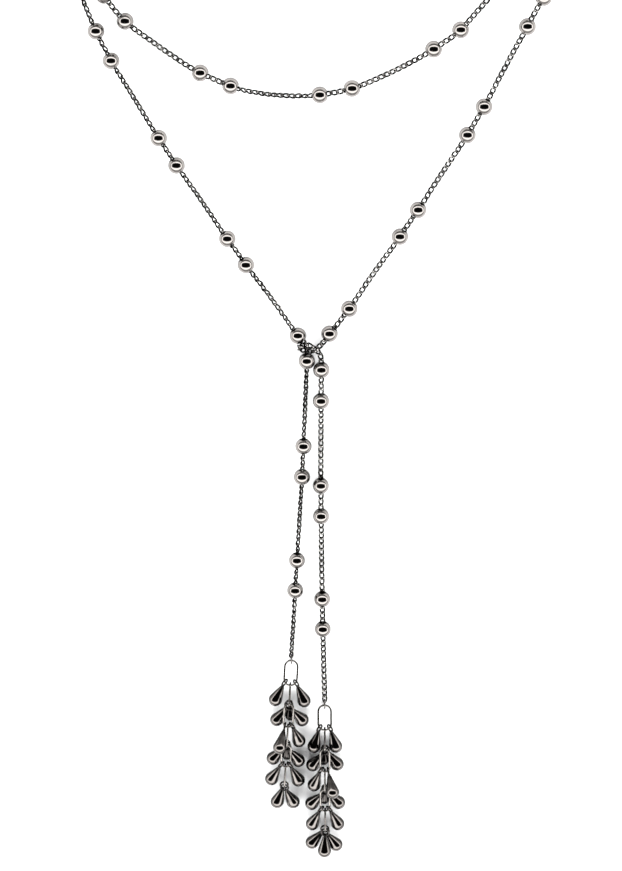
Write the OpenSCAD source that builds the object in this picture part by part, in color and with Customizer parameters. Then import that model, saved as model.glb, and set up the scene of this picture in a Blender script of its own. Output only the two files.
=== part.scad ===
// Lariat necklace, laid out flat: one ball-station curb chain that goes twice round the neck,
// is knotted in front and ends in two tassels of metal drops. Millimetres, +Z up, rests on z = 0.

/* [Beads] */
// Diameter of each ball bead
bead_d = 5; // [4.4:0.1:5.1]
// Diameter of the hole that the chain runs through
bead_bore_d = 3; // [2.6:0.1:3.2]
// Distance between the two beads of a pair, centre to centre
pair_gap = 9.6; // [8.5:0.1:11]

/* [Chain] */
// Outer diameter of the fine curb chain
chain_d = 1.5; // [1.2:0.1:1.7]
// Height of the chain's axis above the surface where it sags between two pairs
sag_axis_z = 0.9; // [0.85:0.05:2]
// Length of the small link between the chain's end and the tassel
end_link_len = 3.2; // [2.8:0.1:4]
// Width of that link
end_link_w = 2.4; // [2.1:0.1:2.6]
// Wire of that link
end_link_wire = 0.4; // [0.3:0.05:0.5]

/* [Tassel links] */
// Length of the large oval link at the top of a tassel
top_link_len = 8.2; // [7:0.1:10]
// Width of that link
top_link_w = 4.5; // [4:0.1:5]
// Length of the other links
link_len = 8.1; // [7.6:0.1:9]
// Width of the other links
link_w = 3.4; // [3.2:0.1:3.6]
// Wire of all tassel links
link_wire = 0.55; // [0.45:0.05:0.65]
// Play between two links that hang in each other
link_play = 0.35; // [0.2:0.05:0.6]

/* [Drops] */
// Largest diameter of a drop
drop_d = 4.2; // [3.6:0.1:4.4]
// Length of a drop, from the middle of its eye to its round end
drop_len = 8.7; // [8:0.1:9.4]
// Diameter of a drop's neck
neck_d = 0.9; // [0.7:0.1:1.2]
// Outer diameter of a drop's eye
eye_d = 2.5; // [2.3:0.1:2.8]
// Wire of that eye
eye_wire = 0.4; // [0.3:0.05:0.5]

/* [Hidden] */
$fn = 48;
// Route of the chain: from the left bead above the knot up the left side, round the back, along the
// front, round the back again and down the right side to the right bead above the knot
loop_route = [
    [-3.9, 30.8], [-22, 56.2], [-42, 86], [-60.3, 117],
    [-70.5, 143], [-76, 162], [-75.5, 180.5], [-65.5, 196], [-47, 205.5], [-24, 209],
    [0, 207], [23.5, 200.5], [45, 189], [59.5, 173.5], [64, 156.5], [58.5, 140],
    [45.5, 124], [38.5, 118], [23, 109], [6.3, 103.3], [-13, 102.8], [-30, 108.1], [-46, 118], [-57.8, 128.7],
    [-65.5, 145], [-67.5, 163], [-63, 180.5], [-51.5, 192], [-34, 197], [-12, 197.5],
    [11, 211], [36, 222], [59, 212.5], [75, 193], [80, 170.5], [76, 148],
    [63.9, 125], [47.4, 93.8], [28.5, 64.2], [11, 38.5], [5.5, 31.4]];
loop_pairs = 25;
// Where the second round crosses over the first one at the back
crossing = [3.5, 206.5];
// Left chain through the knot and down its tail: x, y and the level in chain layers above the surface
knot_left = [[-2.2, 28.9, 0.9], [-1.4, 27.2, 1.25], [-1.25, 25.4, 1.2]];
// Right chain through the knot: it runs under the left chain, turns round it, and crosses over itself
knot_right = [[3.9, 29, 0.7], [2.9, 27.6, 0.1], [1.5, 26.3, 0], [0, 25.7, 0], [-1.8, 25.8, 0],
    [-3.4, 26.9, 0.9], [-3, 28.1, 2.1], [-0.9, 28.4, 2.4], [0.9, 27.2, 2], [2.3, 25.6, 1.2], [3, 23.8, 1]];
left_tail = [[-1.25, 23], [-2.5, -8.2], [-4.6, -45], [-6, -69.6]];
right_tail = [[3.1, 20.3], [3, 10.3], [3, -20], [3.5, -56.5], [4.2, -84.2]];
tail_pairs = 2;

// Tiers of each tassel, from the top. Columns: height of the link's lower end, sideways place of that end
// (positive toward the outer side of the necklace), where the left, centre and right eye hang on the link's
// lower bend (degrees from its tip), the azimuth of each drop from straight down (positive to the right), and
// which drop lies on top of the others (0, 1 or 2) at what height. A drop whose azimuth is none is not there.
none = 999;
left_tiers = [
    [3.4, 0, [-58, 0, 58], [-26, none, 22], none, 0],
    [4.6, 0, [-54, 0, -16], [-35, none, 38], none, 0],
    [4.6, 0, [-40, 0, 56], [-15, none, 20], 0, 7.6],
    [4.8, 0, [-50, 0, -15], [-40, none, 34], none, 0],
    [4.2, 0, [-62, 0, 62], [-29, none, 24], none, 0],
    [4.6, 0, [-50, 0, -8], [-20, none, 25], none, 0]];
right_tiers = [
    [3.4, 0, [-52, 0, 52], [-15, none, 16], none, 0],
    [4.6, 0, [-16, 0, -54], [-35, none, 35], none, 0],
    [4.6, 0, [-56, 0, 42], [-20, none, 13], 2, 7.6],
    [4.8, 0, [-15, 0, -50], [-40, none, 40], none, 0],
    [4.2, 0, [-62, 0, 62], [-25, none, 25], none, 0],
    [4.6, 0, [-52, 30, -14], [-38, -2, 32], 1, 4.5]];
left_lean = -3.3;
right_lean = 0.3;
// How far a link stands above the bend that it hangs in
hang_rise = 0.4;
// How far an eye's middle lies from the wire that it hangs on
eye_hang = 0.2;
// Turn of an eye about its drop's own axis where the link lies flat
eye_roll = 8;
// Turn of an eye where the link stands on edge, as a share of its drop's slope
edge_share = 0.65;
// Space left under what rests on the surface, and between pieces that nearly touch
rest_gap = 0.02;
seat_gap = 0.1;
tube_sides = 8;
curve_steps = 8;

bead_r = bead_d / 2;
bead_z = bead_r + rest_gap;
chain_r = chain_d / 2;
layer = chain_d + seat_gap;
fat_r = drop_d / 2;
fat_at = drop_len - fat_r;
fat_z = fat_r + rest_gap;
neck_from = eye_d / 2 - eye_wire / 2;
tiers = len(left_tiers);

// Rotations of a vector, in the order of rotate([x, y, z])
function about_x(v, a) = [v[0], v[1] * cos(a) - v[2] * sin(a), v[1] * sin(a) + v[2] * cos(a)];
function about_y(v, a) = [v[0] * cos(a) + v[2] * sin(a), v[1], v[2] * cos(a) - v[0] * sin(a)];
function about_z(v, a) = [v[0] * cos(a) - v[1] * sin(a), v[0] * sin(a) + v[1] * cos(a), v[2]];
function turned(v, r) = about_z(about_y(about_x(v, r[0]), r[1]), r[2]);
// The turn that lays the X axis along direction d, after a roll about it
function aim(d, roll) = [roll, -asin(d[2] / norm(d)), atan2(d[1], d[0])];

// A smooth curve through chosen points, its running length and a place on it
function blend(a, b, c, d, t) =
    0.5 * (2 * b + (c - a) * t + (2 * a - 5 * b + 4 * c - d) * t * t + (3 * b - a - 3 * c + d) * t * t * t);
function curve(pts) = [
    for (i = [0 : len(pts) - 2], k = [0 : curve_steps - 1])
        blend(pts[max(i - 1, 0)], pts[i], pts[i + 1], pts[min(i + 2, len(pts) - 1)], k / curve_steps),
    pts[len(pts) - 1]];
function running(path) = [
    for (i = 0, s = 0; i < len(path); i = i + 1, s = s + norm(path[min(i, len(path) - 1)] - path[i - 1])) s];
function at(path, run, s) = [
    for (axis = [0 : 1]) lookup(s, [for (i = [0 : len(path) - 1]) [run[i], path[i][axis]]])];
function total(run) = run[len(run) - 1];
function lift(p, z) = [p[0], p[1], z];

loop_path = curve(loop_route);
loop_run = running(loop_path);
left_path = curve(left_tail);
left_run = running(left_path);
right_path = curve(right_tail);
right_run = running(right_path);
repeat_len = total(loop_run) / loop_pairs;
long_gap = repeat_len - pair_gap;

// Places of the beads along the loop: the first one, then pairs, up to the other knot bead
loop_stations = [0, for (k = [0 : loop_pairs - 1], end = [0, 1]) k * repeat_len + (end == 0 ? long_gap : repeat_len)];
left_stations = [0, for (k = [0 : tail_pairs - 1], end = [0, 1]) k * repeat_len + (end == 0 ? long_gap : repeat_len)];
right_stations = [0, pair_gap,
    for (k = [0 : tail_pairs - 1], end = [0, 1]) pair_gap + k * repeat_len + (end == 0 ? long_gap : repeat_len)];
// Each bead's middle, and the way in which the chain runs through it
function bead_places(path, run, stations) = [for (s = stations)
    [lift(at(path, run, s), bead_z), lift(at(path, run, s + 1) - at(path, run, s - 1), 0)]];
loop_beads = bead_places(loop_path, loop_run, loop_stations);
left_beads = bead_places(left_path, left_run, left_stations);
right_beads = bead_places(right_path, right_run, right_stations);

// The chain's own points: each bead and the low point of each long gap, which is high at the crossing
over_z = sag_axis_z + layer + 1.1;
function low_point(path, run, s) = let (p = at(path, run, s))
    lift(p, s > total(loop_run) / 2 && norm(p - crossing) < long_gap / 2 ? over_z : sag_axis_z);
function strung(path, run, stations) = [
    for (i = [0 : len(stations) - 1]) each [
        if (i > 0 && stations[i] - stations[i - 1] > pair_gap + 1)
            low_point(path, run, (stations[i] + stations[i - 1]) / 2),
        lift(at(path, run, stations[i]), bead_z)]];
function in_layers(pts) = [for (p = pts) [p[0], p[1], chain_r + 0.05 + layer * p[2]]];
function reversed(list) = [for (i = [len(list) - 1 : -1 : 0]) list[i]];

loop_points = strung(loop_path, loop_run, loop_stations);
left_end = lift(at(left_path, left_run, total(left_run)), sag_axis_z);
right_end = lift(at(right_path, right_run, total(right_run)), sag_axis_z);
left_tail_points = concat(strung(left_path, left_run, left_stations),
    [lift(at(left_path, left_run, (total(left_run) + left_stations[2 * tail_pairs]) / 2), sag_axis_z), left_end]);
right_tail_points = concat(strung(right_path, right_run, right_stations),
    [lift(at(right_path, right_run, (total(right_run) + right_stations[2 * tail_pairs + 1]) / 2), sag_axis_z),
     right_end]);

// The two halves of the chain meet inside the middle bead
half = 3 * floor(loop_pairs / 2) + 2;
left_points = concat(reversed(left_tail_points), reversed(in_layers(knot_left)),
    [for (i = [0 : half]) loop_points[i]]);
right_points = concat(
    [loop_points[half] + 3 * seat_gap * unit(loop_points[half + 1] - loop_points[half])],
    [for (i = [half + 1 : len(loop_points) - 1]) loop_points[i]], in_layers(knot_right), right_tail_points);

// Tassel places. Each link hangs in the bend of the one before and ends at its own tip.
function unit(v) = v / norm(v);
function link_size(k) = k == 0 ? [top_link_len, top_link_w] : [link_len, link_w];
function bend_r(k) = (link_size(k)[1] - link_wire) / 2;
function link_roll(k) = k % 2 == 0 ? 0 : 90;
function reach(k) = link_size(k)[0] - 2 * link_wire - link_play;
function step_to(h, x, z, r) = [x, h[1] - sqrt(r * r - (x - h[0]) * (x - h[0]) - (z - h[2]) * (z - h[2])), z];
// Tips and hanging points of one tassel: start is where its top link hangs
function tips(start, rows, lean, side, k = 0, hook = undef) = k == tiers ? [] :
    let (h = k == 0 ? start : hook,
         tip = step_to(h, start[0] + (start[1] - h[1] + reach(k)) * tan(lean) + side * rows[k][1], rows[k][0], reach(k)),
         next_side = k + 1 < tiers ? side * rows[k + 1][1] : 0,
         slant = asin(max(-0.9, min(0.9, next_side / bend_r(k)))),
         bent = link_roll(k) == 0 ? [bend_r(k) * sin(slant), bend_r(k) * (1 - cos(slant)), hang_rise]
                                  : [0, bend_r(k) * (1 - cos(asin(hang_rise / bend_r(k)))), hang_rise])
    concat([[h, tip]], tips(start, rows, lean, side, k + 1, tip + bent));

function link_dir(t) = unit(t[1] - t[0]);
function link_centre(t, k) = t[1] - link_dir(t) * (link_size(k)[0] - link_wire) / 2;
// A place on the lower bend of link k, at angle a from its tip
function on_bend(t, k, a) = link_centre(t, k) + turned(
    [(link_size(k)[0] - link_size(k)[1]) / 2 + bend_r(k) * cos(a), bend_r(k) * sin(a), 0],
    aim(link_dir(t), link_roll(k)));

// An eye's roll: the eye faces up where the link stands on edge, and leans where it lies flat
function drop_roll(k, place, slope) =
    link_roll(k) == 0 ? 90 - (place - 1) * eye_roll : (place - 1) * edge_share * slope;
function rest_of(row, place) = row[4] == place ? row[5] : fat_z;
function drop_turn(w, azimuth, rest) = [0, asin((w[2] - rest) / (fat_at + eye_hang)), azimuth - 90];

end_link_z = end_link_w / 2 + rest_gap;
function top_hook(end) = [end[0], end[1] - seat_gap - end_link_len + end_link_wire / 2, end_link_z];
left_tips = tips(top_hook(left_end), left_tiers, left_lean, -1);
right_tips = tips(top_hook(right_end), right_tiers, right_lean, 1);

// The frame's origin is the middle of the whole outline, on the surface
all_beads = concat(loop_beads, left_beads, right_beads);
low_fat = [for (place = [0 : 2]) let (t = right_tips[tiers - 1], row = right_tiers[tiers - 1],
    w = on_bend(t, tiers - 1, row[2][place]))
    (w + turned([fat_at + eye_hang, 0, 0], drop_turn(w, row[3][place], rest_of(row, place))))[1] - fat_r];
middle = [
    (max([for (b = all_beads) b[0][0]]) + min([for (b = all_beads) b[0][0]])) / 2,
    (max([for (b = all_beads) b[0][1]]) + bead_r + min(low_fat)) / 2, 0];

silver = [0.62, 0.61, 0.6];
dark_silver = [0.42, 0.41, 0.4];

DROPS = [for (side = ["left", "right"], k = [0 : tiers - 1], place = [0 : 2])
    if ((side == "left" ? left_tiers : right_tiers)[k][3][place] != none)
        [str(side, "_drop_", k + 1, ["a", "b", "c"][place]), side, k, place]];

// A tube through points: one ring of corners at each point, square to the way through it
module tube(pts, d) {
    last = len(pts) - 1;
    function way(i) = unit(unit(pts[min(i + 1, last)] - pts[min(i, last - 1)])
        + unit(pts[max(i, 1)] - pts[max(i - 1, 0)]));
    function ring(i) = let (w = way(i), u = unit(cross(w, abs(w[2]) > 0.9 ? [0, 1, 0] : [0, 0, 1])), v = cross(w, u))
        [for (k = [0 : tube_sides - 1]) pts[i]
            + d / 2 * (cos(360 * (k + 0.5) / tube_sides) * u + sin(360 * (k + 0.5) / tube_sides) * v)];
    polyhedron(
        [for (i = [0 : last]) each ring(i)],
        [[for (k = [0 : tube_sides - 1]) k],
         [for (k = [tube_sides - 1 : -1 : 0]) last * tube_sides + k],
         for (i = [0 : last - 1], k = [0 : tube_sides - 1]) let (n = (k + 1) % tube_sides, a = i * tube_sides)
             [a + n, a + k, a + k + tube_sides, a + n + tube_sides]]);
}

// One bead, turned about its bore, which lies along its chain
module bead(place, way) {
    translate(place) rotate(aim(way, 0)) rotate([0, 90, 0]) rotate_extrude() difference() {
        circle(d = bead_d);
        translate([-bead_d, -bead_d]) square([bead_d + bead_bore_d / 2, 2 * bead_d]);
    }
}

module bead_row(places, from, to) {
    for (i = [from : to]) bead(places[i][0], places[i][1]);
}

// An oval link of round wire, lying flat with its length along X
module oval_link(length, width, wire) {
    bend = (width - wire) / 2;
    half_side = (length - width) / 2;
    for (end = [-1, 1]) {
        translate([0, end * bend, 0]) rotate([0, 90, 0]) cylinder(d = wire, h = 2 * half_side, center = true);
        translate([end * half_side, 0, 0]) rotate([0, 0, -90 * end])
            rotate_extrude(angle = 180) translate([bend, 0]) circle(d = wire);
    }
}

module tassel_links(places) {
    for (k = [0 : tiers - 1])
        translate(link_centre(places[k], k)) rotate(aim(link_dir(places[k]), link_roll(k)))
            oval_link(link_size(k)[0], link_size(k)[1], link_wire);
}

// One drop: a cone that runs smoothly into a ball, with a wire eye at its thin end. Its eye is at the
// origin and its axis is X.
module drop_shape() {
    away = fat_at - neck_from;
    slope = asin(fat_r / norm([away, neck_d / 2])) - atan(neck_d / 2 / away);
    touch = fat_at - fat_r * sin(slope);
    rotate([90, 0, 0]) rotate_extrude() translate([(eye_d - eye_wire) / 2, 0]) circle(d = eye_wire);
    translate([neck_from, 0, 0]) rotate([0, 90, 0])
        cylinder(r1 = neck_d / 2, r2 = fat_r * cos(slope), h = touch - neck_from);
    translate([fat_at, 0, 0]) sphere(r = fat_r);
}

module tassel_drop(places, rows, k, place) {
    w = on_bend(places[k], k, rows[k][2][place]);
    turn = drop_turn(w, rows[k][3][place], rest_of(rows[k], place));
    translate(w + turned([eye_hang, 0, 0], turn)) rotate(turn + [90 + drop_roll(k, place, turn[1]), 0, 0]) drop_shape();
}

module end_link(end) {
    translate([end[0], end[1] - seat_gap - end_link_len / 2, end_link_z])
        rotate([0, 0, 90]) rotate([90, 0, 0]) oval_link(end_link_len, end_link_w, end_link_wire);
}

module placed() {
    translate(-middle) children();
}

module chain_left() {
    color(dark_silver) placed() tube(left_points, chain_d);
}

module chain_right() {
    color(dark_silver) placed() tube(right_points, chain_d);
}

module beads_first_round() {
    color(silver) placed() bead_row(loop_beads, 0, loop_pairs - 1);
}

module beads_second_round() {
    color(silver) placed() bead_row(loop_beads, loop_pairs, 2 * loop_pairs);
}

module beads_left_tail() {
    color(silver) placed() bead_row(left_beads, 0, len(left_beads) - 1);
}

module beads_right_tail() {
    color(silver) placed() bead_row(right_beads, 0, len(right_beads) - 1);
}

module end_link_left() {
    color(silver) placed() end_link(left_end);
}

module end_link_right() {
    color(silver) placed() end_link(right_end);
}

module tassel_links_left() {
    color(silver) placed() tassel_links(left_tips);
}

module tassel_links_right() {
    color(silver) placed() tassel_links(right_tips);
}

module drop(d) {
    color(silver) placed() tassel_drop(
        d[1] == "left" ? left_tips : right_tips, d[1] == "left" ? left_tiers : right_tiers, d[2], d[3]);
}

chain_left();
chain_right();
beads_first_round();
beads_second_round();
beads_left_tail();
beads_right_tail();
end_link_left();
end_link_right();
tassel_links_left();
tassel_links_right();
for (d = DROPS) drop(d);
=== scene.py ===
"""A lariat necklace laid flat on a pale surface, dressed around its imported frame."""

import logging
import math
from dataclasses import dataclass, field
from enum import Enum
from typing import Callable, Sequence

import bmesh
import bpy
from mathutils import Euler, Matrix, Vector


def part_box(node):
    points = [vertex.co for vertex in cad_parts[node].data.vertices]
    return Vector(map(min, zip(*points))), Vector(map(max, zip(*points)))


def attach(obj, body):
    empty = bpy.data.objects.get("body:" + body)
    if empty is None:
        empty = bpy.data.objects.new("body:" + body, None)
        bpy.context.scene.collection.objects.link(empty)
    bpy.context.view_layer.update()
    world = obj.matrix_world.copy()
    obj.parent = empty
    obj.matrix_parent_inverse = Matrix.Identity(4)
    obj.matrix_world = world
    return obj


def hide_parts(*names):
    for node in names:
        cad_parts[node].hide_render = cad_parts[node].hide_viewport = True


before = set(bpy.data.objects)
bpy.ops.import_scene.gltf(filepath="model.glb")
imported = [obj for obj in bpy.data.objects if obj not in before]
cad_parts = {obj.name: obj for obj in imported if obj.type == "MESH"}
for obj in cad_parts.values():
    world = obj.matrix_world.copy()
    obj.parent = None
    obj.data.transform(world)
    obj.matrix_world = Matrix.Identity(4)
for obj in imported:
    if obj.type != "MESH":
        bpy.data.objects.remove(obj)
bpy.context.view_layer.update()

logging.basicConfig(level=logging.INFO, format="%(message)s")
log = logging.getLogger("necklace")

MM = 0.001
BODY = "root"
SEED = 11
# Lengths along a run that differ by less, in millimetres, are the same
NEAR = 0.01
# Keeps a division by a length of nought away
TINY = 1e-9
# Corners closer than this, in metres, are one
DOUBLE = 1e-8
# Sine of the angle to the upright below which a wire counts as upright
STEEP = 0.05
Point = tuple[float, ...]


class Side(Enum):
    """The two sides of the necklace, as the nodes spell them."""

    LEFT = "left"
    RIGHT = "right"


class Hang(Enum):
    """How a tassel link lies: flat, or standing on edge."""

    FLAT = 0
    EDGE = 90


def linear(code: str) -> tuple[float, float, float, float]:
    """Turns an sRGB hex colour into linear RGBA.

    Args:
        code: Six hex digits after a hash sign.

    Returns:
        The linear colour with full alpha.
    """
    parts = [int(code[i : i + 2], 16) / 255 for i in (1, 3, 5)]
    r, g, b = [c / 12.92 if c <= 0.04045 else ((c + 0.055) / 1.055) ** 2.4 for c in parts]
    return r, g, b, 1.0


def add_node(
    tree: bpy.types.NodeTree, kind: str, links: dict | None = None, **settings: object
) -> bpy.types.Node:
    """Adds a node, with its settings, its socket values and its incoming links.

    Args:
        tree: The node tree to add to.
        kind: The node's type name.
        links: Input name or number to a value or to an output socket.
        settings: Attributes of the node itself.

    Returns:
        The new node.
    """
    node = tree.nodes.new(kind)
    for name, value in settings.items():
        setattr(node, name, value)
    for name, value in (links or {}).items():
        if isinstance(value, bpy.types.NodeSocket):
            tree.links.new(value, node.inputs[name])
        else:
            node.inputs[name].default_value = value
    return node


@dataclass(frozen=True)
class Silver:
    """Silver-plated metal: polished or tumbled, with dark patina left in its low places and painted shade.

    `high` is the rubbed metal and painted highlight, and `low` the patina and painted shade. Below
    `patina_and_shade_to` of the wear value the low colour is whole, and above `bright_from` it
    is gone. `smooth` and `rough` are the ends of the roughness.

    The grain is finer than the picture can show, so it is drawn coarser than real polishing marks.
    """

    name: str
    high: str
    low: str
    smooth: float
    rough: float
    patina_and_shade_to: float = 0.05
    bright_from: float = 0.42
    cloud_mm: float = 2.5
    scratch_mm: float = 0.25
    scratch_high_mm: float = 0.02
    scratch_depth: float = 0.06

    def make(self) -> bpy.types.Material:
        """Builds the material.

        Returns:
            A metallic material that reads the wear attribute of its piece.
        """
        mat = bpy.data.materials.new(self.name)
        mat.use_nodes = True
        tree = mat.node_tree
        tree.nodes.clear()
        where = add_node(tree, "ShaderNodeTexCoord").outputs["Object"]
        cloud = add_node(
            tree, "ShaderNodeTexNoise", {"Vector": where, "Scale": 1 / (self.cloud_mm * MM), "Detail": 3.0}
        )
        wear = add_node(tree, "ShaderNodeAttribute", attribute_name="wear")
        shade = add_node(
            tree,
            "ShaderNodeMath",
            {0: wear.outputs["Fac"], 1: cloud.outputs["Fac"]},
            operation="MULTIPLY",
        )
        ramp = add_node(tree, "ShaderNodeValToRGB", {"Fac": shade.outputs[0]})
        ramp.color_ramp.elements[0].color = linear(self.low)
        ramp.color_ramp.elements[0].position = self.patina_and_shade_to
        ramp.color_ramp.elements[1].color = linear(self.high)
        ramp.color_ramp.elements[1].position = self.bright_from
        gloss = add_node(
            tree,
            "ShaderNodeMapRange",
            {"Value": cloud.outputs["Fac"], "To Min": self.smooth, "To Max": self.rough},
        )
        scratch = add_node(
            tree,
            "ShaderNodeTexNoise",
            {"Vector": where, "Scale": 1 / (self.scratch_mm * MM), "Detail": 2.0},
        )
        bump = add_node(
            tree,
            "ShaderNodeBump",
            {
                "Height": scratch.outputs["Fac"],
                "Strength": self.scratch_depth,
                "Distance": self.scratch_high_mm * MM,
            },
        )
        shader = add_node(
            tree,
            "ShaderNodeBsdfPrincipled",
            {
                "Base Color": ramp.outputs["Color"],
                "Roughness": gloss.outputs[0],
                "Normal": bump.outputs["Normal"],
                "Metallic": 1.0,
            },
        )
        add_node(tree, "ShaderNodeOutputMaterial", {"Surface": shader.outputs["BSDF"]})
        return mat


@dataclass(frozen=True)
class Backdrop:
    """Matt white card, which takes a soft contact shadow."""

    name: str = "white_card"
    tone: str = "#F7F7F7"
    rough: float = 0.9
    speck_mm: float = 0.8
    speck_high_mm: float = 0.02
    speck_depth: float = 0.05

    def make(self) -> bpy.types.Material:
        """Builds the card's material.

        Returns:
            A matt material with a faint tooth.
        """
        mat = bpy.data.materials.new(self.name)
        mat.use_nodes = True
        tree = mat.node_tree
        shader = tree.nodes["Principled BSDF"]
        shader.inputs["Base Color"].default_value = linear(self.tone)
        shader.inputs["Roughness"].default_value = self.rough
        where = add_node(tree, "ShaderNodeTexCoord").outputs["Object"]
        speck = add_node(
            tree, "ShaderNodeTexNoise", {"Vector": where, "Scale": 1 / (self.speck_mm * MM)}
        )
        bump = add_node(
            tree,
            "ShaderNodeBump",
            {
                "Height": speck.outputs["Fac"],
                "Strength": self.speck_depth,
                "Distance": self.speck_high_mm * MM,
            },
        )
        tree.links.new(bump.outputs["Normal"], shader.inputs["Normal"])
        return mat


# Antique silver plate over brass balls, barrel polished: near-mirror on top, with painted shade towards
# the sides and in the bore
BALLS = Silver(
    "polished_antique_silver_plate",
    high="#827E7B",
    low="#14110F",
    smooth=0.05,
    rough=0.13,
)
# Oxidised silver plate over cast drops, barrel polished: dark body, sharp bright lines,
# and a black outline of painted shade
DROPS = Silver(
    "blackened_silver_plate_drops",
    high="#6A6663",
    low="#0D0B0A",
    smooth=0.05,
    rough=0.12,
)
# Oxidised silver plate over brass chain, tumbled so that only the high wire is bright again;
# painted shade darkens what faces sideways and down
CHAIN = Silver(
    "oxidised_silver_plate_chain",
    high="#DAD7D2",
    low="#070605",
    smooth=0.1,
    rough=0.22,
    patina_and_shade_to=0.16,
    bright_from=0.52,
)
# Oxidised wire of the oval links: dark wire with one thin painted highlight along its upper side
WIRE = Silver(
    "oxidised_silver_wire",
    high="#85817D",
    low="#0C0A09",
    smooth=0.1,
    rough=0.22,
    patina_and_shade_to=0.1,
    bright_from=0.5,
)


def catmull(points: Sequence[Point], steps: int) -> list[Vector]:
    """Runs a smooth curve through points.

    Args:
        points: The chosen points, in two or three dimensions.
        steps: Places worked out between each two points.

    Returns:
        The curve's places, all in three dimensions.
    """
    pts = [Vector(tuple(p) + (0.0,) * (3 - len(p))) for p in points]
    out = []
    for i in range(len(pts) - 1):
        a, b, c, d = pts[max(i - 1, 0)], pts[i], pts[i + 1], pts[min(i + 2, len(pts) - 1)]
        for k in range(steps):
            t = k / steps
            square = (2 * a - 5 * b + 4 * c - d) * t * t
            cube = (3 * b - a - 3 * c + d) * t * t * t
            out.append(0.5 * (2 * b + (c - a) * t + square + cube))
    return out + [pts[-1]]


class Run:
    """A smooth way on the surface, measured by its running length in millimetres."""

    def __init__(self, points: Sequence[Point], steps: int = 8) -> None:
        """Runs the way through its points.

        Args:
            points: The chosen points of the way.
            steps: Places worked out between each two points.
        """
        self.path = catmull(points, steps)
        self.run = [0.0]
        for a, b in zip(self.path, self.path[1:]):
            self.run.append(self.run[-1] + (b - a).length)

    @property
    def total(self) -> float:
        """The whole length."""
        return self.run[-1]

    def at(self, s: float) -> Vector:
        """The place at a running length, held to the ends.

        Args:
            s: Length from the start.

        Returns:
            The place, at height nought.
        """
        s = min(max(s, 0.0), self.total)
        i = max(1, next((k for k, r in enumerate(self.run) if r >= s), len(self.run) - 1))
        share = (s - self.run[i - 1]) / max(self.run[i] - self.run[i - 1], TINY)
        return self.path[i - 1].lerp(self.path[i], share)


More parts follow.
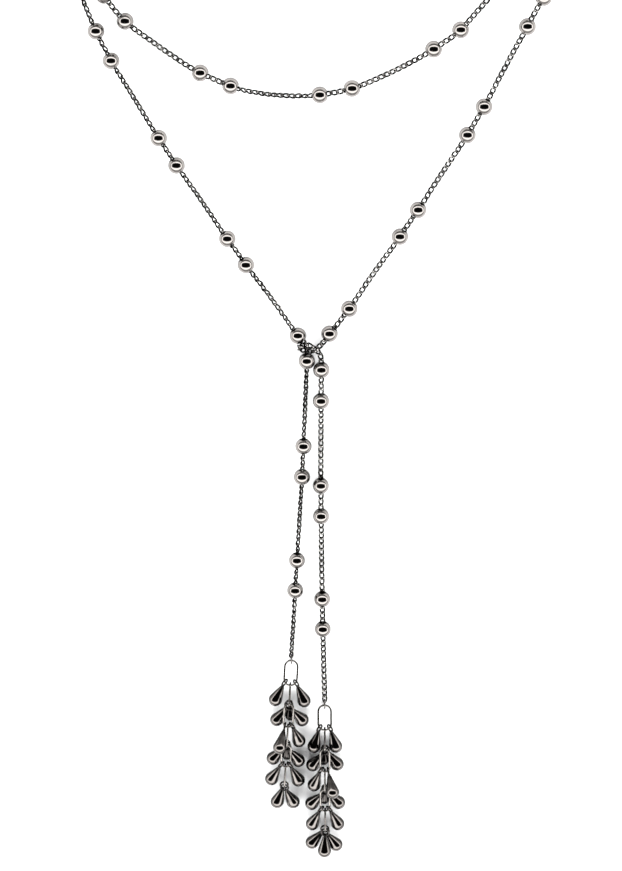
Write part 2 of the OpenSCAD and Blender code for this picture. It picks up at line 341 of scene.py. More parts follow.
@dataclass
class Layout:
    """Where the chain and its beads lie, in millimetres of the route, and the shift to the frame.

    The chain sags to the surface between far beads and dips by `pair_dip` between the two of a pair.
    `sag_fall` and `end_fall` say how many times faster than evenly it comes down. Where one strand
    crosses another, it stays `hop_clear` above it.
    """

    bead_d: float = 5.0
    pair_gap: float = 9.6
    chain_d: float = 1.5
    sag_axis_z: float = 0.9
    rest_gap: float = 0.02
    seat_gap: float = 0.1
    pair_dip: float = 0.5
    sag_fall: float = 1.25
    end_fall: float = 1.6
    hop_clear: float = 1.1
    gap_slack: float = 1.0
    knot_lift: float = 0.05
    knot_steps: int = 6
    loop_pairs: int = 25
    tail_pairs: int = 2
    crossing: Point = (3.5, 206.5)
    loop_route: Sequence[Point] = (
        # Left V, from the tie outwards
        (-3.9, 30.8), (-22, 56.2), (-42, 86), (-60.3, 117),
        # First time round the back, from left to right
        (-70.5, 143), (-76, 162), (-75.5, 180.5), (-65.5, 196), (-47, 205.5), (-24, 209),
        (0, 207), (23.5, 200.5), (45, 189), (59.5, 173.5), (64, 156.5), (58.5, 140),
        # Upper strand, from right to left
        (45.5, 124), (38.5, 118), (23, 109), (6.3, 103.3),
        (-13, 102.8), (-30, 108.1), (-46, 118), (-57.8, 128.7),
        # Second time round the back
        (-65.5, 145), (-67.5, 163), (-63, 180.5), (-51.5, 192), (-34, 197), (-12, 197.5),
        (11, 211), (36, 222), (59, 212.5), (75, 193), (80, 170.5), (76, 148),
        # Right V, inwards to the tie
        (63.9, 125), (47.4, 93.8), (28.5, 64.2), (11, 38.5), (5.5, 31.4),
    )
    knot_left: Sequence[Point] = ((-2.2, 28.9, 0.9), (-1.4, 27.2, 1.25), (-1.25, 25.4, 1.2))
    knot_right: Sequence[Point] = (
        # Under the left chain, from right to left
        (3.9, 29, 0.7), (2.9, 27.6, 0.1), (1.5, 26.3, 0), (0, 25.7, 0), (-1.8, 25.8, 0),
        # Up its outer side and back over it
        (-3.4, 26.9, 0.9), (-3, 28.1, 2.1), (-0.9, 28.4, 2.4), (0.9, 27.2, 2),
        # Down to the right tail
        (2.3, 25.6, 1.2), (3, 23.8, 1),
    )
    left_tail: Sequence[Point] = ((-1.25, 23), (-2.5, -8.2), (-4.6, -45), (-6, -69.6))
    right_tail: Sequence[Point] = ((3.1, 20.3), (3, 10.3), (3, -20), (3.5, -56.5), (4.2, -84.2))
    shift: Vector = field(default_factory=Vector)

    def __post_init__(self) -> None:
        """Works out the runs and the beads, and where the frame's origin lies."""
        self.loop = Run(self.loop_route)
        self.tails = {Side.LEFT: Run(self.left_tail), Side.RIGHT: Run(self.right_tail)}
        self.repeat = self.loop.total / self.loop_pairs
        self.long_gap = self.repeat - self.pair_gap
        self.bead_z = self.bead_d / 2 + self.rest_gap
        low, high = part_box("beads_first_round")
        mine = [self.loop.at(s) for s in self.loop_stations()[: self.loop_pairs]]
        for axis in (0, 1):
            centre = (min(p[axis] for p in mine) + max(p[axis] for p in mine)) / 2
            self.shift[axis] = centre - (low[axis] + high[axis]) / 2 / MM

    def loop_stations(self) -> list[float]:
        """Where the beads sit along the loop."""
        ends = [(k * self.repeat + self.long_gap, (k + 1) * self.repeat) for k in range(self.loop_pairs)]
        return [0.0] + [s for pair in ends for s in pair]

    def tail_stations(self, side: Side) -> list[float]:
        """Where the beads sit along a tail.

        Args:
            side: Which tail.

        Returns:
            Running lengths from the tail's top. The left tail starts with a single bead.
        """
        first = [0.0] if side is Side.LEFT else [0.0, self.pair_gap]
        ends = [
            (first[-1] + k * self.repeat + self.long_gap, first[-1] + (k + 1) * self.repeat)
            for k in range(self.tail_pairs)
        ]
        return first + [s for pair in ends for s in pair]

    def place(self, p: Vector) -> Vector:
        """Moves a route point in millimetres to the frame in metres."""
        return (p - self.shift) * MM

    def fallen(self, share: float) -> float:
        """Height of the axis after a share of its way down from a bead, at most the whole way."""
        share = min(1.0, share)
        return self.bead_z + (self.sag_axis_z - self.bead_z) * share * share * (3 - 2 * share)

    def strand(self, run: Run, stations: Sequence[float], upto: float) -> list[Vector]:
        """The chain's axis along a run, sagging to the surface between its beads.

        Args:
            run: The way on the surface.
            stations: Where its beads sit.
            upto: Running length at which the strand ends.

        Returns:
            Places about a millimetre apart, in route millimetres.
        """
        over_z = self.sag_axis_z + self.chain_d + self.seat_gap + self.hop_clear
        marks = list(stations) + ([run.total] if upto > stations[-1] + NEAR else [])
        out = []
        for a, b in zip(marks, marks[1:]):
            if a >= upto - NEAR:
                break
            count = max(2, round(b - a))
            middle = run.at((a + b) / 2)
            crossing = (
                run is self.loop
                and (a + b) / 2 > run.total / 2
                and (middle.xy - Vector(self.crossing)).length < self.long_gap / 2
            )
            for k in range(count):
                t = k / count
                p = run.at(a + (b - a) * t)
                if b == run.total and b not in stations:
                    p.z = self.fallen(self.end_fall * t)
                elif crossing:
                    p.z = self.bead_z + (over_z - self.bead_z) * math.sin(math.pi * t)
                elif b - a > self.pair_gap + self.gap_slack:
                    p.z = self.fallen(self.sag_fall * min(2 * t, 2 - 2 * t))
                else:
                    p.z = self.bead_z - self.pair_dip * math.sin(math.pi * t)
                out.append(p)
        end = run.at(upto)
        end.z = self.bead_z if any(abs(s - upto) < NEAR for s in stations) else self.sag_axis_z
        return out + [end]

    def knot(self, points: Sequence[Point]) -> list[Vector]:
        """Knot points, whose third number is a level in chain layers, as places."""
        layer = self.chain_d + self.seat_gap
        return [Vector((x, y, self.chain_d / 2 + self.knot_lift + layer * n)) for x, y, n in points]

    def chain_way(self, side: Side) -> list[Vector]:
        """One half of the chain. Both meet inside a bead of the upper strand.

        Args:
            side: Which half: the left one starts at its tassel, and the right one ends at its own.

        Returns:
            The smooth axis, in route millimetres.
        """
        stations = self.loop_stations()
        meet = 2 * (self.loop_pairs // 2) + 1
        tail = self.strand(self.tails[side], self.tail_stations(side), self.tails[side].total)
        if side is Side.LEFT:
            loop = self.strand(self.loop, stations, stations[meet])
            marks = [tail[0]] + self.knot(self.knot_left)[::-1] + [loop[0]]
            tied = catmull([tuple(p) for p in marks], self.knot_steps)
            return tail[::-1][:-1] + tied[:-1] + loop
        whole = self.strand(self.loop, stations, self.loop.total)
        start = len(self.strand(self.loop, stations, stations[meet])) - 1
        marks = [whole[-1]] + self.knot(self.knot_right) + [tail[0]]
        tied = catmull([tuple(p) for p in marks], self.knot_steps)
        return whole[start:-1] + tied[:-1] + tail


def mesh_piece(name: str, verts: Sequence, faces: Sequence, mat: bpy.types.Material) -> bpy.types.Object:
    """Makes a smooth mesh object at the origin.

    Args:
        name: The piece's name.
        verts: Its corners, in metres of the frame.
        faces: Its faces, as corner numbers.
        mat: Its material.

    Returns:
        The object, linked to the scene.
    """
    mesh = bpy.data.meshes.new(name)
    mesh.from_pydata([tuple(v) for v in verts], [], [tuple(f) for f in faces])
    mesh.materials.append(mat)
    mesh.polygons.foreach_set("use_smooth", [True] * len(mesh.polygons))
    piece = bpy.data.objects.new(name, mesh)
    bpy.context.scene.collection.objects.link(piece)
    return piece


def set_wear_and_shade(piece: bpy.types.Object, wear: Callable[[Vector, Vector], float]) -> None:
    """Writes how bright each corner is, from its wear and from painted shade and highlight.

    Args:
        piece: A mesh object.
        wear: From a corner's place and normal to a number from 0, dark, to 1, bright.
    """
    mesh = piece.data
    layer = mesh.attributes.new("wear", "FLOAT", "POINT")
    for i, v in enumerate(mesh.vertices):
        layer.data[i].value = wear(v.co, v.normal)


def shade_sides_and_underside(piece: bpy.types.Object, dark_to: float, bright_from: float, least: float = 0.0) -> None:
    """Paints shade on what faces sideways and down, by dimming its value there.

    Args:
        piece: A mesh object that has its wear values.
        dark_to: Upward share of the normal below which the painted shade is whole.
        bright_from: Upward share of the normal above which it is gone.
        least: Share of the value that is left even in the painted shade.
    """
    mesh = piece.data
    layer = mesh.attributes["wear"]
    for i, v in enumerate(mesh.vertices):
        layer.data[i].value *= min(1.0, max(least, (v.normal.z - dark_to) / (bright_from - dark_to)))


def swept(path: Sequence[Vector], radius: float, sides: int) -> tuple[list[Vector], list[tuple]]:
    """Sweeps a round wire along a path that joins its own start.

    Args:
        path: The wire's axis.
        radius: The wire's radius.
        sides: Corners around the wire.

    Returns:
        Corners and faces.
    """
    n = len(path)
    verts, faces = [], []
    for i, p in enumerate(path):
        way = path[(i + 1) % n] - path[i - 1]
        way.normalize()
        u = way.cross(Vector((0, 0, 1)))
        if u.length < STEEP:
            u = way.cross(Vector((0, 1, 0)))
        u.normalize()
        v = way.cross(u)
        for k in range(sides):
            a = 2 * math.pi * k / sides
            verts.append(p + radius * (math.cos(a) * u + math.sin(a) * v))
    for i in range(n):
        j = (i + 1) % n
        for k in range(sides):
            m = (k + 1) % sides
            faces.append((i * sides + k, j * sides + k, j * sides + m, i * sides + m))
    return verts, faces


def revolved(
    profile: Sequence[tuple[float, float]], sides: int, closed: bool
) -> tuple[list[Vector], list[tuple]]:
    """Turns a profile about the Z axis.

    Args:
        profile: Pairs of radius and height.
        sides: Corners around the axis.
        closed: Whether the profile joins its own start; otherwise its ends are closed by poles.

    Returns:
        Corners and faces.
    """
    verts, faces = [], []
    n = len(profile)
    for r, z in profile:
        for k in range(sides):
            a = 2 * math.pi * k / sides
            verts.append(Vector((r * math.cos(a), r * math.sin(a), z)))
    for i in range(n if closed else n - 1):
        j = (i + 1) % n
        for k in range(sides):
            m = (k + 1) % sides
            faces.append((i * sides + k, i * sides + m, j * sides + m, j * sides + k))
    if not closed:
        for ring, z, flip in ((0, profile[0][1], True), (n - 1, profile[-1][1], False)):
            verts.append(Vector((0, 0, z)))
            for k in range(sides):
                tri = (ring * sides + k, ring * sides + (k + 1) % sides, len(verts) - 1)
                faces.append(tri[::-1] if flip else tri)
    return verts, faces


def outward(piece: bpy.types.Object) -> None:
    """Merges doubles and turns every face outwards.

    Args:
        piece: A mesh object whose shells are closed.
    """
    bm = bmesh.new()
    bm.from_mesh(piece.data)
    bmesh.ops.remove_doubles(bm, verts=bm.verts, dist=DOUBLE)
    bmesh.ops.recalc_face_normals(bm, faces=bm.faces)
    bm.to_mesh(piece.data)
    bm.free()


@dataclass
class Repeater:
    """A Geometry Nodes tree that sets one template again and again.

    With a pitch it works along a curve, and without one on points that carry their own way. `jitter`
    is the most that each one is turned at random, in radians.
    """

    name: str
    pitch: float = 0.0
    jitter: float = 0.0

    def tree(self) -> bpy.types.GeometryNodeTree:
        """Builds the tree, with its inputs named for what they set.

        Returns:
            The node group.
        """
        group = bpy.data.node_groups.new(self.name, "GeometryNodeTree")
        face = group.interface
        face.new_socket("Geometry", in_out="OUTPUT", socket_type="NodeSocketGeometry")
        for label, kind in (
            ("Geometry", "NodeSocketGeometry"),
            ("Template", "NodeSocketObject"),
            ("Pitch", "NodeSocketFloat"),
            ("Jitter", "NodeSocketFloat"),
            ("Finish", "NodeSocketMaterial"),
        ):
            face.new_socket(label, in_out="INPUT", socket_type=kind)
        given = add_node(group, "NodeGroupInput").outputs
        part = add_node(group, "GeometryNodeObjectInfo", {"Object": given["Template"]}).outputs["Geometry"]
        if self.pitch:
            level = add_node(
                group, "GeometryNodeSetCurveNormal", {"Curve": given["Geometry"]}, mode="Z_UP"
            )
            spots = add_node(
                group,
                "GeometryNodeCurveToPoints",
                {"Curve": level.outputs["Curve"], "Length": given["Pitch"]},
                mode="LENGTH",
            )
            points, turn = spots.outputs["Points"], spots.outputs["Rotation"]
        else:
            way = add_node(
                group, "GeometryNodeInputNamedAttribute", {"Name": "way"}, data_type="FLOAT_VECTOR"
            )
            align = add_node(
                group, "FunctionNodeAlignRotationToVector", {"Vector": way.outputs[0]}, axis="Z"
            )
            points, turn = given["Geometry"], align.outputs[0]
        least = add_node(
            group, "ShaderNodeMath", {0: given["Jitter"], 1: -1.0}, operation="MULTIPLY"
        )
        shake = add_node(
            group,
            "FunctionNodeRandomValue",
            {"Min": least.outputs[0], "Max": given["Jitter"], "Seed": SEED},
            data_type="FLOAT_VECTOR",
        )
        loose = add_node(
            group,
            "FunctionNodeRotateRotation",
            {"Rotation": turn, "Rotate By": shake.outputs[0]},
            rotation_space="LOCAL",
        )
        set_out = add_node(
            group,
            "GeometryNodeInstanceOnPoints",
            {"Points": points, "Instance": part, "Rotation": loose.outputs[0]},
        )
        real = add_node(group, "GeometryNodeRealizeInstances", {"Geometry": set_out.outputs[0]})
        dressed = add_node(
            group, "GeometryNodeSetMaterial", {"Geometry": real.outputs[0], "Material": given["Finish"]}
        )
        add_node(group, "NodeGroupOutput", {"Geometry": dressed.outputs[0]})
        return group

    def run(
        self, carrier: bpy.types.Object, template: bpy.types.Object, mat: bpy.types.Material
    ) -> bpy.types.Object:
        """Repeats the template and keeps the result as a plain mesh.

        Args:
            carrier: The curve or the points.
            template: One link or bead, at the origin.
            mat: The finish.

        Returns:
            The finished piece. The carrier and the template are removed.
        """
        group = self.tree()
        values = {"Template": template, "Pitch": self.pitch, "Jitter": self.jitter, "Finish": mat}
        modifier = carrier.modifiers.new(self.name, "NODES")
        modifier.node_group = group
        for item in group.interface.items_tree:
            if item.in_out == "INPUT" and item.name in values:
                modifier[item.identifier] = values[item.name]
        graph = bpy.context.evaluated_depsgraph_get()
        mesh = bpy.data.meshes.new_from_object(carrier.evaluated_get(graph))
        mesh.name = self.name
        mesh.polygons.foreach_set("use_smooth", [True] * len(mesh.polygons))
        piece = bpy.data.objects.new(self.name, mesh)
        bpy.context.scene.collection.objects.link(piece)
        for used in (carrier, template):
            bpy.data.objects.remove(used)
        return piece


@dataclass
class CurbChain:
    """The fine curb chain, whose twisted links all lie the same way up.

    Sizes are in millimetres and rolls in radians. The left half stands half on edge below and left of
    the route point `edge_within`, as the picture shows. `side_shade` is what shade_sides_and_underside
    takes, for painted shade on what faces sideways and down.
    """

    layout: Layout
    pitch: float = 1.82
    width: float = 1.8
    wire: float = 0.57
    twist: float = 0.28
    slack: float = 0.04
    lift: float = 0.06
    roll: float = 0.12
    edge_roll: float = 0.9
    edge_within: Point = (2.0, 130.0)
    jitter: float = 0.13
    wear_power: int = 3
    side_shade: tuple[float, float] = (0.05, 0.6)
    around: int = 18
    sides: int = 6

    def link(self) -> bpy.types.Object:
        """One link, twisted so that it hooks into the next while it lies flat.

        Returns:
            The template, with its length along Z and its thickness along Y.
        """
        half_len = (self.pitch + self.wire + self.slack) / 2
        half_w = (self.width - self.wire) / 2
        path = []
        for k in range(self.around):
            t = 2 * math.pi * k / self.around
            p = Vector((half_w * math.sin(t), self.twist * math.sin(2 * t), half_len * math.cos(t)))
            path.append(p * MM)
        verts, faces = swept(path, self.wire / 2 * MM, self.sides)
        piece = mesh_piece("curb_link", verts, faces, bpy.data.materials[CHAIN.name])
        outward(piece)
        high = (self.twist + self.wire / 2) * MM
        set_wear_and_shade(piece, lambda co, no: min(1.0, (abs(co.y) / high) ** self.wear_power))
        return piece

    def carrier(self, side: Side) -> bpy.types.Object:
        """The chain's axis as a poly curve, rolled where the picture shows the chain's edge.

        Args:
            side: Which half.

        Returns:
            The curve object that carries the links.
        """
        way = self.layout.chain_way(side)
        curve = bpy.data.curves.new("axis_" + side.value, "CURVE")
        curve.dimensions = "3D"
        spline = curve.splines.new("POLY")
        spline.points.add(len(way) - 1)
        right, back = self.edge_within
        for point, p in zip(spline.points, way):
            point.co = (*(self.layout.place(p) + Vector((0, 0, self.lift * MM))), 1.0)
            on_edge = side is Side.LEFT and p.x < right and p.y < back
            point.tilt = self.edge_roll if on_edge else self.roll
        axis = bpy.data.objects.new("axis_" + side.value, curve)
        bpy.context.scene.collection.objects.link(axis)
        return axis

    def build(self) -> list[bpy.types.Object]:
        """Builds both halves.

        Returns:
            The two pieces.
        """
        pieces = []
        for side in Side:
            name = f"curb_chain_{side.value}"
            repeater = Repeater(name, pitch=self.pitch * MM, jitter=self.jitter)
            piece = repeater.run(self.carrier(side), self.link(), bpy.data.materials[CHAIN.name])
            # Painted shade on the links' sides and undersides
            shade_sides_and_underside(piece, *self.side_shade)
            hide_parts(f"chain_{side.value}")
            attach(piece, BODY)
            pieces.append(piece)
        return pieces


@dataclass
class Beads:
    """Drilled ball beads, in pairs along the chain.

    Sizes are in millimetres, and `side_shade` is what shade_sides_and_underside takes, for painted shade.
    """

    layout: Layout
    bore_d: float = 2.3
    lip: float = 0.12
    shaded_lips: float = 2.5
    bore_shade: float = 0.25
    side_shade: tuple[float, float, float] = (0.1, 0.5, 0.3)
    arcs: int = 18
    sides: int = 36

    def template(self) -> bpy.types.Object:
        """One bead about the Z axis, with a small lip at each end of its bore.

        Returns:
            The template, with painted shade in its bore and for `shaded_lips` lips round it.
        """
        r, b = self.layout.bead_d / 2, self.bore_d / 2
        start = math.asin((b + self.lip) / r)
        profile = [
            (r * math.sin(a), r * math.cos(a))
            for a in (start + (math.pi - 2 * start) * k / self.arcs for k in range(self.arcs + 1))
        ]
        z = math.sqrt(r * r - (b + self.lip) ** 2)
        profile += [(b, -z + self.lip), (b, 0), (b, z - self.lip)]
        verts, faces = revolved([(x * MM, y * MM) for x, y in profile], self.sides, closed=True)
        piece = mesh_piece("bead", verts, faces, bpy.data.materials[BALLS.name])
        outward(piece)
        # Painted shade in the bore and on the lips round it
        limit = (b + self.shaded_lips * self.lip) * MM
        set_wear_and_shade(piece, lambda co, no: 1.0 if co.xy.length > limit else self.bore_shade)
        return piece

    def group(self, name: str, run: Run, stations: Sequence[float]) -> bpy.types.Object:
        """Sets beads on one stretch.

        Args:
            name: The CAD node that they stand for.
            run: The way on the surface.
            stations: Where they sit.

        Returns:
            The finished piece.
        """
        mesh = bpy.data.meshes.new(name + "_places")
        spots = []
        for s in stations:
            p = run.at(s)
            p.z = self.layout.bead_z
            spots.append(tuple(self.layout.place(p)))
        mesh.from_pydata(spots, [], [])
        way = mesh.attributes.new("way", "FLOAT_VECTOR", "POINT")
        for i, s in enumerate(stations):
            way.data[i].vector = run.at(s + 1) - run.at(s - 1)
        carrier = bpy.data.objects.new(name + "_places", mesh)
        bpy.context.scene.collection.objects.link(carrier)
        piece = Repeater(name.replace("beads", "ball_beads")).run(
            carrier, self.template(), bpy.data.materials[BALLS.name]
        )
        # Painted shade towards each bead's sides and underside
        shade_sides_and_underside(piece, *self.side_shade)
        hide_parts(name)
        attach(piece, BODY)
        return piece

    def build(self) -> list[bpy.types.Object]:
        """Builds the four groups of beads.

        Returns:
            The pieces, one for each CAD node.
        """
        lay = self.layout
        loop, cut = lay.loop_stations(), lay.loop_pairs
        return [
            self.group("beads_first_round", lay.loop, loop[:cut]),
            self.group("beads_second_round", lay.loop, loop[cut:]),
            self.group("beads_left_tail", lay.tails[Side.LEFT], lay.tail_stations(Side.LEFT)),
            self.group("beads_right_tail", lay.tails[Side.RIGHT], lay.tail_stations(Side.RIGHT)),
        ]


@dataclass(frozen=True)
class Tier:
    """One link of a tassel and the drops that hang on its lower bend.

    Heights are in millimetres and angles in degrees: `eyes` are places round the bend, and azimuths
    are directions on the surface, for the left, centre and right drop.

    A drop that isn't there has no azimuth. `over` is the place of the drop that lies on the others,
    and `under` the azimuth of one that lies hidden beneath the next link.
    """

    tip_z: float
    eyes: tuple[float, float, float]
    azimuths: tuple[float | None, float | None, float | None]
    over: int | None = None
    over_z: float = 0.0
    under: float | None = None


TIERS: dict[Side, tuple[Tier, ...]] = {
    Side.LEFT: (
        Tier(3.4, (-58, 0, 58), (-26, None, 22)),
        Tier(4.6, (-54, 0, -16), (-35, None, 38), under=4),
        Tier(4.6, (-40, 0, 56), (-15, None, 20), 0, 7.6),
        Tier(4.8, (-50, 0, -15), (-40, None, 34), under=0),
        Tier(4.2, (-62, 0, 62), (-29, None, 24)),
        Tier(4.6, (-50, 0, -8), (-20, None, 25)),
    ),
    Side.RIGHT: (
        Tier(3.4, (-52, 0, 52), (-15, None, 16)),
        Tier(4.6, (-16, 0, -54), (-35, None, 35), under=-4),
        Tier(4.6, (-56, 0, 42), (-20, None, 13), 2, 7.6),
        Tier(4.8, (-15, 0, -50), (-40, None, 40), under=-3),
        Tier(4.2, (-62, 0, 62), (-25, None, 25)),
        Tier(4.6, (-52, 30, -14), (-38, -2, 32), 1, 4.5),
    ),
}


@dataclass
class Tassel:
    """A short chain of long oval links, with cone drops on each.

    Sizes are in millimetres and angles in degrees. The eyes and the wire are a little stouter than
    the solids', by `eye_grow` and `wire_grow`. A drop beneath the next link has `under_size` of the
    others' size. `collar` gives the neck's rings, as a share of its radius and a rise along the drop.
    `side_shade` is what shade_sides_and_underside takes, for the painted shade of the drops' outline.
    `neck_shade` and `hidden_shade` paint shade on the neck and on a drop beneath the next link.
    """

    layout: Layout
    side: Side
    lean: float
    top_link: tuple[float, float] = (8.2, 4.5)
    long_link: tuple[float, float] = (8.1, 3.4)
    wire: float = 0.55
    wire_grow: float = 0.04
    play: float = 0.35
    end_link: tuple[float, float, float] = (3.2, 2.4, 0.4)
    drop_d: float = 4.2
    drop_len: float = 8.7
    neck_d: float = 0.9
    eye_d: float = 2.5
    eye_wire: float = 0.4
    eye_grow: float = 0.16
    ring_share: float = 0.75
    eye_tilt: float = 33.0
    under_eye: float = -82.0
    under_size: float = 0.76
    hidden_shade: float = 0.35
    neck_shade: float = 0.3
    neck_reach: float = 1.1
    shade_fade_from: float = 0.6
    side_shade: tuple[float, float, float] = (0.45, 0.72, 0.08)
    hang_rise: float = 0.4
    eye_hang: float = 0.2
    eye_roll: float = 8.0
    edge_share: float = 0.65
    collar: tuple[Point, ...] = ((0.86, -0.12), (1.12, 0.05), (1.02, 0.28))
    cone_steps: int = 8
    ball_steps: int = 13
    drop_sides: int = 32
    ring_steps: int = 28
    ring_sides: int = 10
    bend_steps: int = 12
    wire_sides: int = 12

    def size(self, k: int) -> tuple[float, float]:
        """Length and width of link k."""
        return self.top_link if k == 0 else self.long_link

    def bend(self, k: int) -> float:
        """Radius of the bend of link k, at the wire's middle."""
        return (self.size(k)[1] - self.wire) / 2

    def hang(self, k: int) -> Hang:
        """How link k lies."""
        return Hang.FLAT if k % 2 == 0 else Hang.EDGE

    @staticmethod
    def turn(roll: float, pitch: float, yaw: float) -> Matrix:
        """A turn about X, then Y, then Z, in degrees."""
        return Euler([math.radians(a) for a in (roll, pitch, yaw)], "XYZ").to_matrix()

    def aim(self, way: Vector, roll: float) -> Matrix:
        """The turn that lays X along a direction, after a roll about it."""
        pitch = -math.degrees(math.asin(way.z / way.length))
        return self.turn(roll, pitch, math.degrees(math.atan2(way.y, way.x)))

    def tips(self) -> list[tuple[Vector, Vector]]:
        """Where each link hangs and where it ends.

        Returns:
            Pairs of hanging point and lower end, in route millimetres.
        """
        end = self.layout.tails[self.side].path[-1]
        length, width, wire = self.end_link
        low = end.y - self.layout.seat_gap - length + wire / 2
        start = Vector((end.x, low, width / 2 + self.layout.rest_gap))
        hook, out = start, []
        for k, tier in enumerate(TIERS[self.side]):
            reach = self.size(k)[0] - 2 * self.wire - self.play
            x = start.x + (start.y - hook.y + reach) * math.tan(math.radians(self.lean))
            drop = math.sqrt(reach**2 - (x - hook.x) ** 2 - (tier.tip_z - hook.z) ** 2)
            tip = Vector((x, hook.y - drop, tier.tip_z))
            out.append((hook, tip))
            hook = tip + Vector((0, 0, self.hang_rise))
            if self.hang(k) is Hang.EDGE:
                hook.y += self.bend(k) * (1 - math.cos(math.asin(self.hang_rise / self.bend(k))))
        return out

    def link_frame(self, pair: tuple[Vector, Vector], k: int) -> tuple[Vector, Matrix]:
        """Middle and turn of link k."""
        way = (pair[1] - pair[0]).normalized()
        return pair[1] - way * (self.size(k)[0] - self.wire) / 2, self.aim(way, self.hang(k).value)

    def oval(
        self, length: float, width: float, wire: float, middle: Vector, turn: Matrix
    ) -> tuple[list, list]:
        """An oval link of round wire.

        Args:
            length: Length over all.
            width: Width over all.
            wire: The wire's diameter.
            middle: Its middle, in route millimetres.
            turn: How it lies; its length starts out along X.

        Returns:
            Corners in the frame, and faces.
        """
        bend, side = (width - wire) / 2, (length - width) / 2
        path = []
        for end in (1, -1):
            for k in range(self.bend_steps + 1):
                a = math.pi * (k / self.bend_steps - 0.5)
                path.append(Vector((end * (side + bend * math.cos(a)), end * bend * math.sin(a), 0)))
        verts, faces = swept(path, (wire + self.wire_grow) / 2, self.wire_sides)
        return [self.layout.place(middle + turn @ v) for v in verts], faces

    def drop_shape(self) -> tuple[list[Vector], list[tuple]]:
        """One drop with its eye at the origin and its axis along X, in millimetres.

        Returns:
            Corners and faces of the cone with its ball end, and of the eye.
        """
        fat = self.drop_d / 2
        at = self.drop_len - fat
        start = self.eye_d / 2 - self.eye_wire / 2
        neck = self.neck_d / 2
        slope = math.asin(fat / math.hypot(at - start, neck)) - math.atan(neck / (at - start))
        touch = at - fat * math.sin(slope)
        profile = [(neck * share, start + rise) for share, rise in self.collar]
        for k in range(1, self.cone_steps + 1):
            t = k / self.cone_steps
            profile.append((neck + (fat * math.cos(slope) - neck) * t, start + (touch - start) * t))
        for k in range(1, self.ball_steps):
            a = -slope + (math.pi / 2 + slope) * k / self.ball_steps
            profile.append((fat * math.cos(a), at + fat * math.sin(a)))
        verts, faces = revolved(profile, self.drop_sides, closed=False)
        verts = [Vector((v.z, v.x, v.y)) for v in verts]
        ring = (self.eye_d - self.eye_wire) / 2 + self.eye_grow * self.ring_share
        circle = []
        for k in range(self.ring_steps):
            a = 2 * math.pi * k / self.ring_steps
            circle.append(Vector((ring * math.cos(a), 0, ring * math.sin(a))))
        more, rings = swept(circle, (self.eye_wire + self.eye_grow) / 2, self.ring_sides)
        base = len(verts)
        return verts + more, faces + [tuple(base + i for i in f) for f in rings]

    def drop(
        self, pair: tuple[Vector, Vector], k: int, place: int, under: bool = False
    ) -> bpy.types.Object:
        """Hangs one drop.

        Args:
            pair: Hanging point and lower end of its link.
            k: The link's number from the top.
            place: Left, centre or right.
            under: Whether it is the one beneath the next link, which no node stands for.

        Returns:
            The finished drop.
        """
        tier = TIERS[self.side][k]
        over = tier.over == place
        middle, lie = self.link_frame(pair, k)
        length, width = self.size(k)
        bend = self.bend(k)
        a = math.radians(self.under_eye if under else tier.eyes[place])
        spot = Vector(((length - width) / 2 + bend * math.cos(a), bend * math.sin(a), 0))
        on_wire = middle + lie @ spot
        share = self.under_size if under else 1.0
        rest = tier.over_z if over and not under else share * self.drop_d / 2 + self.layout.rest_gap
        reach = share * (self.drop_len - self.drop_d / 2) + self.eye_hang
        pitch = math.degrees(math.asin((on_wire.z - rest) / reach))
        yaw = (tier.under if under else tier.azimuths[place]) - 90
        if self.hang(k) is Hang.FLAT:
            roll = 90 - (place - 1) * (self.eye_roll if over else self.eye_tilt)
        else:
            roll = (place - 1) * self.edge_share * pitch
        eye = on_wire + self.turn(0, pitch, yaw) @ Vector((self.eye_hang, 0, 0))
        turn = self.turn(90 + roll, pitch, yaw)
        verts, faces = self.drop_shape()
        node = f"{self.side.value}_drop_{k + 1}{'abc'[place]}"
        piece = mesh_piece(
            "cone_" + node,
            [self.layout.place(eye + share * (turn @ v)) for v in verts],
            faces,
            bpy.data.materials[DROPS.name],
        )
        outward(piece)
        start = self.layout.place(eye)
        # Painted shade at the neck and eye, where the drop hangs between the links
        neck_end = (self.eye_d / 2 + self.neck_reach) * MM
        # A drop beneath the next link is dimmed all over with painted shade
        most = self.hidden_shade if under else 1.0

        def neck_shading(co: Vector, no: Vector) -> float:
            """Painted shade at the neck, fading out towards the body."""
            out = min(1.0, max(0.0, (co - start).length / neck_end - self.shade_fade_from))
            return most * (self.neck_shade + (1 - self.neck_shade) * out)

        set_wear_and_shade(piece, neck_shading)
        # Painted shade on the drop's sides and underside, which draws its black outline
        shade_sides_and_underside(piece, *self.side_shade)
        if not under:
            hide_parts(node)
        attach(piece, BODY)
        return piece

    def wire_piece(self, name: str, node: str, parts: Sequence[tuple[list, list]]) -> bpy.types.Object:
        """Joins wire ovals to one piece.

        Args:
            name: The piece's name.
            node: The CAD node that it stands for.
            parts: Corners and faces of each oval.

        Returns:
            The finished piece.
        """
        verts, faces = [], []
        for more, rings in parts:
            faces += [tuple(len(verts) + i for i in f) for f in rings]
            verts += more
        piece = mesh_piece(name, verts, faces, bpy.data.materials[WIRE.name])
        outward(piece)
        # Painted highlight: a thin light line along the wire's upper side
        set_wear_and_shade(piece, lambda co, no: max(0.0, no.z) ** 2)
        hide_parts(node)
        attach(piece, BODY)
        return piece

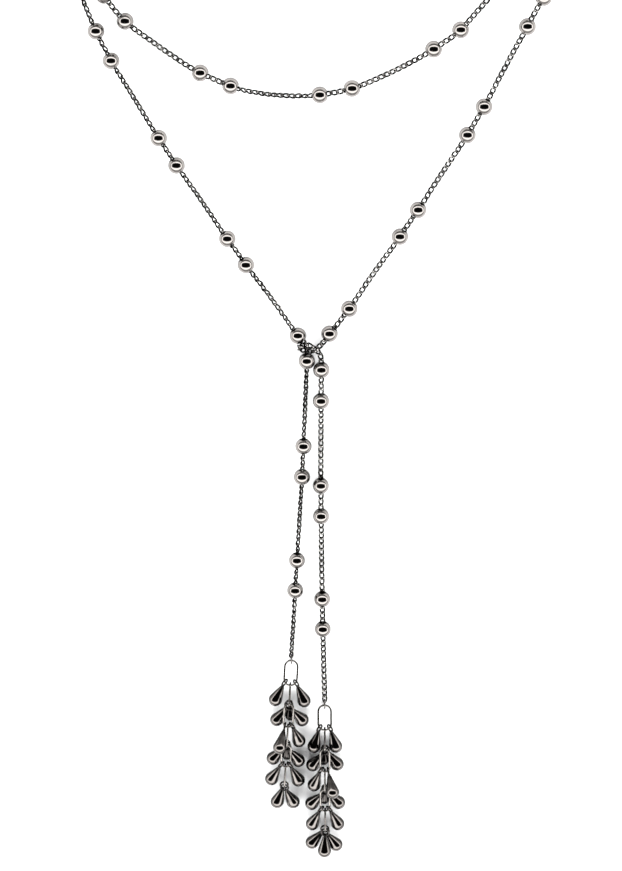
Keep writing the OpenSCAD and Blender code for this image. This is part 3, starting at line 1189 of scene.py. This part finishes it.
    def build(self) -> list[bpy.types.Object]:
        """Builds the end link, the long links and the drops.

        Returns:
            All pieces of this tassel.
        """
        pairs = self.tips()
        length, width, wire = self.end_link
        end = self.layout.tails[self.side].path[-1]
        high = width / 2 + self.layout.rest_gap
        middle = Vector((end.x, end.y - self.layout.seat_gap - length / 2, high))
        small = self.oval(length, width, wire, middle, self.turn(0, 0, 90) @ self.turn(90, 0, 0))
        word = self.side.value
        pieces = [self.wire_piece(f"small_link_{word}", f"end_link_{word}", [small])]
        ovals = []
        for k, pair in enumerate(pairs):
            centre, lie = self.link_frame(pair, k)
            ovals.append(self.oval(*self.size(k), self.wire, centre, lie))
        pieces.append(self.wire_piece(f"oval_links_{word}", f"tassel_links_{word}", ovals))
        for k, pair in enumerate(pairs):
            for place in range(3):
                if TIERS[self.side][k].azimuths[place] is not None:
                    pieces.append(self.drop(pair, k, place))
            if TIERS[self.side][k].under is not None:
                pieces.append(self.drop(pair, k, 1, under=True))
        return pieces


@dataclass
class Studio:
    """White card, a soft sky with a dark opening in a bright frame, low strips, and the camera.

    The opening and the frame are rectangles in the sky, measured as run over height. The room dims
    from its front to its back, between the directions -`room_reach` and `room_reach` along Y.
    """

    layout: Layout
    lens: float = 124.0
    sensor: float = 36.0
    far: float = 20.0
    tilt: float = -15.0
    eye: Point = (0.0, 233.2, 872.7)
    card_half: float = 3.0
    room_front: float = 1.0
    room_back: float = 0.45
    room_reach: float = 0.8
    horizon: float = 0.02
    frame_power: float = 5.0
    opening: float = 0.01
    opening_half: tuple[float, float] = (1.9, 0.74)
    frame_half: tuple[float, float] = (5.5, 1.7)
    opening_centre: float = 0.24
    edge_soft: float = 0.05
    strip_size: float = 0.8
    strips: tuple[tuple[Point, float], ...] = (
        ((-1.0, 0.1, 0.5), 14.0),
        ((1.0, 0.1, 0.5), 14.0),
        ((0.0, 1.1, 0.7), 9.0),
    )

    def card(self) -> None:
        """Lays the card that the necklace rests on."""
        h = self.card_half
        corners = [(-h, -h, 0), (h, -h, 0), (h, h, 0), (-h, h, 0)]
        mesh_piece("card", corners, [(0, 1, 2, 3)], Backdrop().make())

    def window(
        self, tree: bpy.types.NodeTree, flat: list, half: tuple[float, float]
    ) -> bpy.types.NodeSocket:
        """A soft-edged rectangle in the sky.

        Args:
            tree: The world's tree.
            flat: The direction's X and Y over its height.
            half: The rectangle's half sizes, in the same measure.

        Returns:
            A socket that is one inside the rectangle and nought outside.
        """
        inside = []
        for value, size, centre in zip(flat, half, (0.0, self.opening_centre)):
            moved = add_node(tree, "ShaderNodeMath", {0: value, 1: centre}, operation="SUBTRACT")
            far = add_node(tree, "ShaderNodeMath", {0: moved.outputs[0]}, operation="ABSOLUTE")
            edge = {
                "Value": far.outputs[0],
                "From Min": size * (1 - self.edge_soft),
                "From Max": size * (1 + self.edge_soft),
                "To Min": 1.0,
                "To Max": 0.0,
            }
            inside.append(add_node(tree, "ShaderNodeMapRange", edge).outputs[0])
        both = add_node(tree, "ShaderNodeMath", {0: inside[0], 1: inside[1]}, operation="MULTIPLY")
        return both.outputs[0]

    def light(self) -> None:
        """Sets the sky, whose dark opening shows as the bar in each bead, and the low strips.

        The strips brighten the card alone, because the metal's gloss doesn't see them.
        """
        world = bpy.data.worlds.new("studio_sky")
        bpy.context.scene.world = world
        bpy.context.scene.view_settings.view_transform = "Standard"
        world.use_nodes = True
        tree = world.node_tree
        tree.nodes.clear()
        way = add_node(tree, "ShaderNodeTexCoord").outputs["Generated"]
        axes = add_node(tree, "ShaderNodeSeparateXYZ", {"Vector": way}).outputs
        high = add_node(tree, "ShaderNodeMath", {0: axes["Z"], 1: self.horizon}, operation="MAXIMUM")
        flat = []
        for axis in ("X", "Y"):
            share = {0: axes[axis], 1: high.outputs[0]}
            flat.append(add_node(tree, "ShaderNodeMath", share, operation="DIVIDE").outputs[0])
        dark = self.window(tree, flat, self.opening_half)
        frame_light = self.window(tree, flat, self.frame_half)
        room = add_node(
            tree,
            "ShaderNodeMapRange",
            {
                "Value": axes["Y"],
                "From Min": -self.room_reach,
                "From Max": self.room_reach,
                "To Min": self.room_front,
                "To Max": self.room_back,
            },
        )
        lit = add_node(
            tree,
            "ShaderNodeMapRange",
            {"Value": frame_light, "To Min": room.outputs[0], "To Max": self.frame_power},
        )
        power = add_node(
            tree,
            "ShaderNodeMapRange",
            {"Value": dark, "To Min": lit.outputs[0], "To Max": self.opening},
        )
        sky = add_node(
            tree, "ShaderNodeBackground", {"Color": (1, 1, 1, 1), "Strength": power.outputs[0]}
        )
        add_node(tree, "ShaderNodeOutputWorld", {"Surface": sky.outputs[0]})
        for number, (place, energy) in enumerate(self.strips):
            strip = bpy.data.lights.new(f"strip_{number}", "AREA")
            strip.energy, strip.size = energy, self.strip_size
            lamp = bpy.data.objects.new(strip.name, strip)
            lamp.location = place
            lamp.rotation_euler = (-Vector(place)).to_track_quat("-Z", "Y").to_euler()
            lamp.visible_glossy = False
            bpy.context.scene.collection.objects.link(lamp)

    def camera(self) -> None:
        """Sets the camera at the picture's angle, above the card."""
        data = bpy.data.cameras.new("camera")
        data.lens = self.lens
        data.sensor_width = self.sensor
        data.clip_end = self.far
        camera = bpy.data.objects.new("camera", data)
        camera.location = self.layout.place(Vector(self.eye))
        camera.rotation_euler = (math.radians(self.tilt), 0, 0)
        bpy.context.scene.collection.objects.link(camera)
        bpy.context.scene.camera = camera

    def build(self) -> None:
        """Builds the whole studio."""
        self.card()
        self.light()
        self.camera()


def main() -> None:
    """Builds the necklace piece by piece, then the studio."""
    layout = Layout()
    for finish in (BALLS, DROPS, CHAIN, WIRE):
        finish.make()
    makers = [
        CurbChain(layout),
        Beads(layout),
        Tassel(layout, Side.LEFT, lean=-3.3),
        Tassel(layout, Side.RIGHT, lean=0.3),
    ]
    for maker in makers:
        for piece in maker.build():
            log.info("%s: %d faces", piece.name, len(piece.data.polygons))
    Studio(layout).build()


if __name__ == "__main__":
    main()
